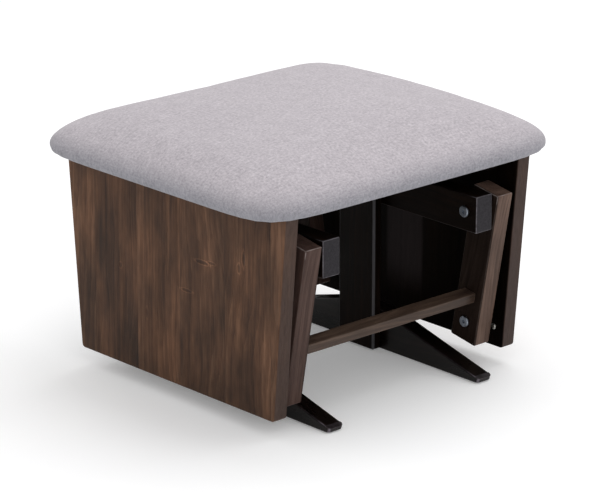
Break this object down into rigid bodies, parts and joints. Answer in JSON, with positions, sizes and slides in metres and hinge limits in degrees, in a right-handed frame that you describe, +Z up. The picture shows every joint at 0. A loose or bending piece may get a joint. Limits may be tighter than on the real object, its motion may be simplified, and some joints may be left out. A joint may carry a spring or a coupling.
{
  "type": "glider ottoman",
  "caption": "Padded footstool whose top and tapered side panels glide fore and aft on swinging wooden links hung from a fixed sled base.",
  "frame": {"origin": "on the floor, under the middle of the ottoman", "axes": "+Z up; Y is the glide direction and runs along the side panels, the face seen in the picture looks towards -Y; X runs from the left side panel to the right one"},
  "size_m": [0.574, 0.518, 0.401],
  "materials": {
    "panel_wood": "dark stained rustic wood, satin",
    "foot_wood": "very dark stained wood, gloss lacquer",
    "frame_wood": "dark stained wood, satin",
    "link_wood": "stained wood, satin",
    "rail_wood": "stained wood, satin",
    "inner_wood": "plain softwood and plywood",
    "cover_fabric": "light warm grey mottled weave",
    "foam": "upholstery foam",
    "dust_cloth": "thin black non-woven cloth",
    "bolt_steel": "zinc plated",
    "screw_steel": "zinc plated",
    "insert_steel": "zinc plated",
    "nylon": "black nylon",
    "glide_plastic": "dark felt-faced plastic"
  },
  "bodies": {
    "base": {"right_foot": "foot_wood", "left_foot": "foot_wood", "floor_glides": "glide_plastic", "right_top_bar": "frame_wood", "left_top_bar": "frame_wood", "right_upright": "frame_wood", "left_upright": "frame_wood", "bar_upright_screws": "screw_steel", "foot_upright_screws": "screw_steel", "front_cross_slat": "frame_wood", "rear_cross_slat": "frame_wood", "outer_slat_screws": "screw_steel", "inner_slat_screws": "screw_steel", "upper_pivot_bolts": "bolt_steel", "upper_spacers": "nylon", "upper_washers": "bolt_steel", "upper_lock_nuts": "bolt_steel"},
    "front_frame": {"front_right_link": "link_wood", "front_left_link": "link_wood", "front_link_rail": "rail_wood", "front_rail_screws": "screw_steel", "front_link_bushes": "nylon"},
    "rear_frame": {"rear_right_link": "link_wood", "rear_left_link": "link_wood", "rear_link_rail": "rail_wood", "rear_rail_screws": "screw_steel", "rear_upper_bushes": "nylon"},
    "seat": {"right_side_panel": "panel_wood", "left_side_panel": "panel_wood", "right_cleat": "inner_wood", "left_cleat": "inner_wood", "cleat_screws": "screw_steel", "deck_screws": "screw_steel", "deck_brace": "inner_wood", "brace_screws": "screw_steel", "deck_board": "inner_wood", "dust_cover": "dust_cloth", "dust_cover_staples": "screw_steel", "pad_cover": "cover_fabric", "foam_pad": "foam", "lower_pivot_bolts": "bolt_steel", "lower_spacers": "nylon", "panel_inserts": "insert_steel", "panel_face_screws": "screw_steel", "rear_lower_bushes": "nylon"}
  },
  "joints": [
    {"name": "front_swing", "type": "hinge", "parent": "base", "child": "front_frame", "pos_m": [0, -0.2088, 0.2562], "axis": [1, 0, 0], "range_deg": [-11, 11]},
    {"name": "seat_swing", "type": "hinge", "parent": "front_frame", "child": "seat", "pos_m": [0, -0.1759, 0.0719], "axis": [1, 0, 0], "range_deg": [-13.2, 13.2]},
    {"name": "rear_swing", "type": "hinge", "parent": "base", "child": "rear_frame", "pos_m": [0, 0.2088, 0.2562], "axis": [1, 0, 0], "range_deg": [-11.2, 11.2]}
  ],
  "couplings": [
    {"joint": "seat_swing", "follows": "front_swing", "ratio": -1.187},
    {"joint": "rear_swing", "follows": "front_swing", "ratio": 1}
  ]
}
